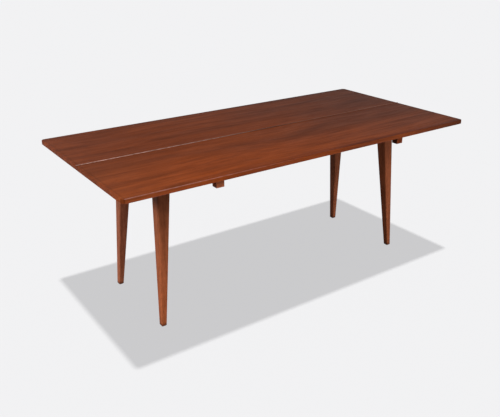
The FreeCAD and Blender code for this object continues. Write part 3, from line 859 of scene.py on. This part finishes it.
@dataclass
class Top:
    """The two leaves of the open top, each from its own veneer, the rear one darker partly as painted shade,
    since the back of the top gets less light.
    """

    palette: Palette
    front_gain: float = 1.05
    front_shift: Triple = (4.27, 1.59, 0.0)
    front_tone: LeafTone = LeafTone(
        (0.90, 1.05, 2.0),
        (1.0, 0.97, 0.7),
        (0.84, 0.98, 2.2),
        at_seam=0.82,
        streak_y=-0.16,
        streak_gain=0.80,
    )
    # partly painted shade: the back of the top gets less light
    rear_gain: float = 0.78
    rear_shift: Triple = (21.0, 9.19, 0.0)
    rear_tone: LeafTone = LeafTone((1.02, 1.16, 2.4), (1.0, 0.93, 0.4), (0.76, 0.84, 1.5))
    specular: float = 0.018
    sway: float = 0.14

    def dress(self) -> None:
        """Finish both leaves."""
        low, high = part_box("front_leaf")
        strip = EdgeStrip(half_length=high.x, half_depth=-low.y, height=high.z)
        shared = {"specular": self.specular, "sway": self.sway, "strip": strip}
        for node, gain, shift, tone in (
            ("front_leaf", self.front_gain, self.front_shift, self.front_tone),
            ("rear_leaf", self.rear_gain, self.rear_shift, self.rear_tone),
        ):
            leaf = self.palette.wood(node + "_wood", Grain.LENGTH, gain, shift=shift, tone=tone, **shared)
            dress(node, leaf.build())


@dataclass(frozen=True)
class LegTone:
    """Gain of one leg and the painted light along its height, both standing for how light falls on it, and
    which part of the plank it was cut from.
    """

    corner: str
    gain: float
    fade: float
    bleach: Colour
    shift: Triple


@dataclass
class Base:
    """Legs, aprons, rails, braces and glides."""

    palette: Palette
    solid: Palette
    # painted light and shade: lit and shaded copies of one wood, each leg with its own gain and painted
    # light along its height
    leg_tones: tuple[LegTone, ...] = (
        LegTone("front_left", 1.20, 0.56, (1.0, 0.85, 0.6), (1.64, 0.92, 0.0)),
        LegTone("rear_left", 1.15, 0.85, (1.0, 1.2, 1.7), (2.11, 1.13, 0.0)),
        LegTone("front_right", 1.16, 0.02, (1.0, 0.85, 0.6), (3.4, 1.8, 0.0)),
        LegTone("rear_right", 1.10, 0.79, (1.0, 1.1, 1.4), (6.74, 3.62, 0.0)),
    )
    leg_foot_darkening: float = 0.8
    leg_wear_and_highlight: float = 0.3
    leg_mottle: float = 0.12
    glide: PlasticFinish = PlasticFinish("hard_plastic", (0.030, 0.021, 0.016), (0.11, 0.09, 0.075), 0.45)

    def leg(self, tone: LegTone) -> Material:
        """Make the finish of one leg.

        Args:
            tone: Tone of the leg.

        Returns:
            The material.
        """
        aged = {"foot_darkening": self.leg_foot_darkening, "wear_and_highlight": self.leg_wear_and_highlight, "mottle": self.leg_mottle}
        aged |= {"fade": tone.fade, "bleach": tone.bleach, "shift": tone.shift}
        return self.solid.wood(f"leg_{tone.corner}_wood", Grain.HEIGHT, tone.gain, **aged).build()

    def dress(self) -> None:
        """Finish every piece of the base."""
        along = self.palette.wood("long_apron_wood", Grain.LENGTH).build()
        across = self.palette.wood("end_apron_wood", Grain.DEPTH).build()
        rail = RailWood().build("plain_rail_wood", Grain.DEPTH)
        brace = RailWood().build("brace_wood", Grain.LENGTH)
        glide = self.glide.build()
        for tone in self.leg_tones:
            dress("leg_" + tone.corner, self.leg(tone))
            dress("glide_" + tone.corner, glide)
            dress("brace_" + tone.corner, brace)
        for end in ("front", "rear"):
            dress("apron_" + end, along)
        for side in ("left", "right"):
            dress("apron_" + side, across)
            for way in ("outer", "inner"):
                dress(f"guide_{side}_{way}", rail)
        dress("centre_rail", rail)


@dataclass
class FeltStrips:
    """Strips of felt glued on the aprons, on which the top slides."""

    pitch: float = 0.010
    across: int = 9
    soft_edge: float = 0.0007
    corner: float = 0.3
    nap: float = 0.00018
    nap_along: float = 140.0
    nap_across: float = 260.0
    waver: float = 0.00025
    waver_along: float = 60.0
    finish: FeltFinish = FeltFinish("strip_felt", (0.020, 0.014, 0.011), (0.060, 0.043, 0.035))

    def build(self, node: str) -> Object:
        """Make one strip in the space of its CAD solid, with soft edges, a nap and a cut that wavers.

        Args:
            node: The solid.

        Returns:
            The strip.
        """
        low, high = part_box(node)
        size = high - low
        along = 0 if size.x > size.y else 1
        long = size[along]
        steps = max(2, round(long / self.pitch))
        rings = []
        for step in range(steps + 1):
            at = long * step / steps
            outline = self.section(at, long, size[1 - along], size.z)
            rings.append([self.place(low, along, at, side, up) for side, up in outline])
        strip = loft(node + "_strip", rings)
        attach(strip, "base_frame")
        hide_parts(node)
        return strip

    def place(self, low: Vector, along: int, at: float, side: float, up: float) -> Vector:
        """Point of a strip, from its place along the strip, across it and above the apron."""
        return low + Vector((side, at, up) if along else (at, side, up))

    def section(self, at: float, long: float, wide: float, thick: float) -> Outline:
        """Outline of a strip across its length.

        Args:
            at: Place along the strip.
            long: Length of the strip.
            wide: Its width.
            thick: Its thickness.

        Returns:
            Places across and above the apron, once round.
        """
        soft = self.soft_edge
        turn = self.corner * soft
        sway = self.waver * (1.0 + noise.noise(Vector((at * self.waver_along, wide, long)))) / 2.0
        crown = thick - soft * max(0.0, 1.0 - min(at, long - at) / soft)
        points = [(sway, 0.0), (sway, crown - soft), (sway + turn, crown - turn)]
        flat = wide - 2.0 * (sway + soft)
        for number in range(self.across):
            side = sway + soft + flat * number / (self.across - 1)
            spot = Vector((at * self.nap_along, side * self.nap_across, long))
            ridge = (1.0 + noise.noise(spot)) / 2.0
            points.append((side, crown - self.nap * min(1.0, max(0.0, ridge))))
        points += [(wide - across, up) for across, up in reversed(points[:3])]
        return points

    def dress(self) -> None:
        """Make and finish all the strips."""
        felt = self.finish.build()
        for edge in ("front", "rear", "left", "right"):
            cover(self.build("felt_" + edge), felt)


@dataclass(frozen=True)
class Screw:
    """Wood screw with a cross recess, measured from the face of its head."""

    head_radius: float = 0.0040
    head_high: float = 0.0026
    face_radius: float = 0.0029
    shank_radius: float = 0.0020
    arm: float = 0.0021
    arm_half: float = 0.00055
    recess: float = 0.0017
    recess_taper: float = 0.55
    crown: tuple[Span, ...] = ((0.0, 0.0), (0.55, 0.10), (0.90, 0.32), (1.0, 0.60), (1.0, 1.0))
    tip_long: float = 2.5
    tip_radius: float = 0.15
    sides: int = 24
    arms: int = 4

    def rings(self, long: float) -> Outline:
        """Radius and depth of the turned outline, from the face to the point.

        Args:
            long: Length with the head.

        Returns:
            Radii and depths.
        """
        rim, shank = self.head_radius - self.face_radius, self.shank_radius
        head = [(self.face_radius + out * rim, down * self.head_high) for out, down in self.crown]
        tip = [(shank, long - self.tip_long * shank), (self.tip_radius * shank, long)]
        return head + [(shank, self.head_high)] + tip

    def cross(self, scale: float) -> Outline:
        """Outline of the recess, once round from its right arm, three points to an arm.

        Args:
            scale: Size against the mouth of the recess.

        Returns:
            The points.
        """
        quarter = [(self.arm, -self.arm_half), (self.arm, self.arm_half), (self.arm_half, self.arm_half)]
        points = []
        for _ in range(self.arms):
            points += [(x * scale, y * scale) for x, y in quarter]
            quarter = [(-y, x) for x, y in quarter]
        return points

    def add_to(self, mesh: Mesh, face: Vector, way: Vector, long: float) -> None:
        """Add one screw to a mesh.

        Args:
            mesh: The mesh.
            face: Centre of the head's face.
            way: Direction in which it is driven.
            long: Length with the head.
        """
        right = way.orthogonal().normalized()
        up = way.cross(right)

        def ring(points: Outline, depth: float) -> Ring:
            """Points of the screw at one depth."""
            return [mesh.verts.new(face + right * x + up * y + way * depth) for x, y in points]

        turn = [2.0 * math.pi * side / self.sides for side in range(self.sides)]
        turned = [ring([(r * math.cos(a), r * math.sin(a)) for a in turn], d) for r, d in self.rings(long)]
        for upper, lower in zip(turned, turned[1:]):
            bridge(mesh, upper, lower)
        mesh.faces.new(turned[-1])
        mouth, floor = ring(self.cross(1.0), 0.0), ring(self.cross(self.recess_taper), self.recess)
        bridge(mesh, mouth, floor)
        per_arm = len(floor) // self.arms
        for first in range(0, len(floor), per_arm):
            mesh.faces.new([floor[first - 1], *floor[first : first + per_arm]])
        mesh.faces.new(floor[per_arm - 1 :: per_arm])
        self.close_face(mesh, turned[0], mouth)

    def close_face(self, mesh: Mesh, rim: Ring, mouth: Ring) -> None:
        """Fill the face of the head between its rim and the recess, a quarter at a time.

        Args:
            mesh: The mesh.
            rim: Points of the rim.
            mouth: Points of the recess.
        """
        per_arm, per_side = len(mouth) // self.arms, len(rim) // self.arms
        half = per_side // 2
        for quarter in range(self.arms):
            outer = [rim[(quarter * per_side + step) % len(rim)] for step in range(per_side + 1)]
            inner = [mouth[(quarter * per_arm + step) % len(mouth)] for step in range(per_arm + 1)]
            first, low, corner, high = inner
            for step in range(per_side):
                mesh.faces.new([outer[step], outer[step + 1], low if step < half else high])
            mesh.faces.new([low, outer[half], high, corner])
            mesh.faces.new([first, outer[0], low])


FLAT_SCREW = Screw(
    head_radius=0.0026, head_high=0.0006, face_radius=0.0024, shank_radius=0.0014,
    arm=0.0015, arm_half=0.00035, recess=0.00045,
)


@dataclass(frozen=True)
class ScrewSet:
    """All the screws of one CAD node, as turned screws with cross recesses."""

    node: str
    body: str
    slot: str
    kind: Screw
    head_share: float = 0.9
    sharp_from: float = 35.0

    def build(self) -> Object:
        """Make the screws where the CAD ones are.

        Returns:
            The screws.
        """
        mesh = bmesh.new()
        for points in clusters(self.node):
            self.add_screw(mesh, points)
        screws = place_mesh(self.node + "_turned", mesh)
        screws.data.set_sharp_from_angle(angle=math.radians(self.sharp_from))
        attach(screws, self.body)
        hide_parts(self.node)
        return screws

    def add_screw(self, mesh: Mesh, points: list[Vector]) -> None:
        """Add one screw, with its head where the wide end of the CAD screw is.

        Args:
            mesh: The mesh.
            points: Points of the CAD screw.
        """
        low = Vector([min(point[axis] for point in points) for axis in range(3)])
        high = Vector([max(point[axis] for point in points) for axis in range(3)])
        size, middle = high - low, (low + high) / 2.0
        axis = max(range(3), key=lambda number: size[number])
        others = [number for number in range(3) if number != axis]
        edge = self.head_share * self.kind.head_radius
        wide = [point for point in points if max(abs(point[n] - middle[n]) for n in others) > edge]
        head_low = sum(point[axis] for point in wide) / len(wide) < middle[axis]
        face, way = middle.copy(), Vector(ORIGIN)
        face[axis] = low[axis] if head_low else high[axis]
        way[axis] = 1.0 if head_low else -1.0
        self.kind.add_to(mesh, face, way, size[axis])


@dataclass
class Runners:
    """The two runners under the front leaf, with their stop blocks."""

    solid: Palette
    veneer: Palette
    # painted light and shade: the left runner lighter, the right one darker from the veneer palette, and
    # both darker on their side faces
    left_gain: float = 1.4
    left_side_shade: float = 0.7
    right_gain: float = 1.05
    right_side_shade: float = 0.4

    def dress(self) -> None:
        """Finish the runners and the blocks."""
        block = RailWood().build("block_wood", Grain.DEPTH)
        for side, palette, gain, side_gain in (
            ("left", self.solid, self.left_gain, self.left_side_shade),
            ("right", self.veneer, self.right_gain, self.right_side_shade),
        ):
            runner = palette.wood(f"runner_{side}_wood", Grain.DEPTH, gain, side_gain=side_gain)
            dress("runner_" + side, runner.build())
            dress("stop_block_" + side, block)


@dataclass
class Metalwork:
    """The continuous hinge and all the screws."""

    # painted shade over the hinge's right part
    hinge: MetalFinish = MetalFinish(
        "bronzed_steel", (0.315, 0.192, 0.162), (0.20, 0.095, 0.068), 0.36, shaded_right_to=0.06
    )
    screw: MetalFinish = MetalFinish("zinc_steel", (0.52, 0.50, 0.46), (0.30, 0.27, 0.22), 0.34)
    flat_screw: MetalFinish = MetalFinish("worn_bronzed_steel", (0.46, 0.34, 0.29), (0.24, 0.13, 0.10), 0.30)
    screws: tuple[ScrewSet, ...] = (
        ScrewSet("brace_screws", "base_frame", "screw_steel", Screw()),
        ScrewSet("runner_screws", "slide_leaf", "screw_steel", Screw()),
        ScrewSet("stop_screws", "slide_leaf", "screw_steel", Screw()),
        ScrewSet("hinge_front_screws", "slide_leaf", "hinge_steel", FLAT_SCREW),
        ScrewSet("hinge_rear_screws", "flip_leaf", "hinge_steel", FLAT_SCREW),
    )

    def dress(self) -> None:
        """Finish the hinge and the screws."""
        hinge = self.hinge.build()
        screw = self.screw.build()
        flat_screw = self.flat_screw.build()
        for node in ("hinge_front_flange", "hinge_rear_flange", "hinge_pin"):
            dress(node, hinge)
        for screws in self.screws:
            cover(screws.build(), flat_screw if screws.kind is FLAT_SCREW else screw)


@dataclass(frozen=True)
class SoftBox:
    """Rectangular soft lamp, which metal mirrors or not."""

    name: str
    place: Triple
    aim: Triple
    size: Span
    watts: float
    mirrored: bool = True

    def build(self) -> Object:
        """Make the lamp, out of the camera's sight.

        Returns:
            The lamp.
        """
        lamp = bpy.data.lights.new(self.name, "AREA")
        lamp.shape = "RECTANGLE"
        lamp.size, lamp.size_y = self.size
        lamp.energy = self.watts
        box = add_object(self.name, lamp)
        box.location = self.place
        box.rotation_euler = (Vector(self.aim) - Vector(self.place)).to_track_quat("-Z", "Y").to_euler()
        box.visible_camera = False
        box.visible_glossy = self.mirrored
        return box


@dataclass
class Studio:
    """Pale floor, soft lamps, world and the camera of the photograph's viewpoint."""

    pale: float = 0.887
    shadow: Colour = (0.588, 0.588, 0.599)
    shadow_depth: float = 0.286
    shadow_soft: float = 2.5
    floor_half: float = 60.0
    floor_albedo: float = 0.10
    world_level: float = 0.12
    boxes: tuple[SoftBox, ...] = (
        SoftBox("front_box", (0.3, -3.0, 3.0), (0.1, -0.2, 0.6), (1.2, 1.2), 51.0),
        SoftBox("low_front_box", (0.5, -3.6, 0.9), (0.1, -0.2, 0.5), (1.2, 1.0), 8.0),
        SoftBox("near_left_box", (-0.5, -1.2, 2.0), (-0.4, -0.3, 0.74), (0.8, 0.8), 7.0),
        SoftBox("left_box", (-2.6, -0.1, 1.75), (-0.7, 0.0, 0.3), (0.5, 0.3), 38.0, mirrored=False),
        SoftBox("low_right_box", (1.6, -1.9, 0.35), (0.7, 0.1, 0.1), (0.5, 0.4), 7.0),
        SoftBox("back_box", (2.2, 2.8, 0.42), (0.3, 0.2, 0.40), (1.6, 0.5), 34.0, mirrored=False),
    )
    eye: Triple = (-1.7663, -2.4141, 1.5948)
    yaw: float = 0.6107
    pitch: float = -0.4040
    focal_px: float = 629.3
    image_px: float = 500.0
    sensor_mm: float = 36.0

    def build(self) -> None:
        """Set up everything that isn't the table."""
        bpy.context.scene.view_settings.view_transform = "Standard"
        floor = self.floor()
        self.world()
        self.lamps(floor)
        self.camera()

    def seen(self, graph: NodeGraph) -> Socket:
        """1 for rays from the camera, and for mirrored and refracted ones."""
        path = graph.add("LightPath").outputs
        return graph.largest(path["Is Camera Ray"], path["Is Glossy Ray"], path["Is Transmission Ray"])

    def floor(self) -> Object:
        """Make the floor, which shows the table's shadow and is clear from below.

        Returns:
            The floor.
        """
        half = self.floor_half
        mesh = bpy.data.meshes.new("floor")
        corners = [(-half, -half, 0.0), (half, -half, 0.0), (half, half, 0.0), (-half, half, 0.0)]
        mesh.from_pydata(corners, [], [(0, 1, 2, 3)])
        floor = add_object("floor", mesh)
        graph = NodeGraph.material("floor_paper")
        lit = graph.add("BsdfDiffuse", Color=(self.floor_albedo,) * 3)
        glow = graph.add("Emission", Color=self.shadow, Strength=self.seen(graph))
        both = graph.add("AddShader", lit.outputs[0], glow.outputs[0])
        below = graph.add("NewGeometry").outputs["Backfacing"]
        clear = graph.add("BsdfTransparent")
        sided = graph.add("MixShader", below, both.outputs[0], clear.outputs[0])
        mesh.materials.append(graph.finish(sided))
        return floor

    def world(self) -> None:
        """Even light from all round, pale where it is seen."""
        graph = NodeGraph(bpy.data.worlds.new("studio"))
        level = graph.span(self.seen(graph), 0.0, 1.0, self.world_level, self.pale)
        background = graph.add("Background", Color=(1.0, 1.0, 1.0), Strength=level)
        bpy.context.scene.world = graph.finish(background, "OutputWorld")

    def lamps(self, floor: Object) -> None:
        """Soft boxes for the table, and one high lamp for its shadow on the floor.

        Args:
            floor: The floor.
        """
        for box in self.boxes:
            self.share(box.build(), floor, Lit.ALL_BUT_FLOOR)
        lamp = bpy.data.lights.new("high_lamp", "SUN")
        lamp.energy = self.shadow_depth / self.floor_albedo * math.pi
        lamp.angle = math.radians(self.shadow_soft)
        self.share(add_object("high_lamp", lamp), floor, Lit.FLOOR_ONLY)

    def share(self, lamp: Object, floor: Object, lit: Lit) -> None:
        """Say whether a lamp lights only the floor, or everything else.

        Args:
            lamp: The lamp.
            floor: The floor.
            lit: What the lamp lights.
        """
        group = bpy.data.collections.new(lamp.name + "_lights")
        group.objects.link(floor)
        lamp.light_linking.receiver_collection = group
        group.collection_objects[0].light_linking.link_state = lit.value

    def camera(self) -> None:
        """Put the camera at the photograph's viewpoint."""
        lens = bpy.data.cameras.new("camera")
        lens.sensor_fit = "HORIZONTAL"
        lens.sensor_width = self.sensor_mm
        lens.lens = self.focal_px * self.sensor_mm / self.image_px
        camera = add_object("camera", lens)
        camera.location = self.eye
        camera.rotation_euler = Euler((math.pi / 2 + self.pitch, 0.0, -self.yaw), "XYZ")
        bpy.context.scene.camera = camera


def main() -> None:
    """Dress every piece of the table and set the studio round it."""
    logging.basicConfig(level=logging.INFO, format="%(name)s %(message)s")
    veneer = Palette()
    solid = Palette((0.170, 0.0460, 0.0185), (0.285, 0.0800, 0.0325), (0.380, 0.1100, 0.0450))
    for assembly in (Top(veneer), Base(veneer, solid), FeltStrips(), Runners(solid, veneer), Metalwork()):
        assembly.dress()
    Studio().build()


if __name__ == "__main__":
    main()
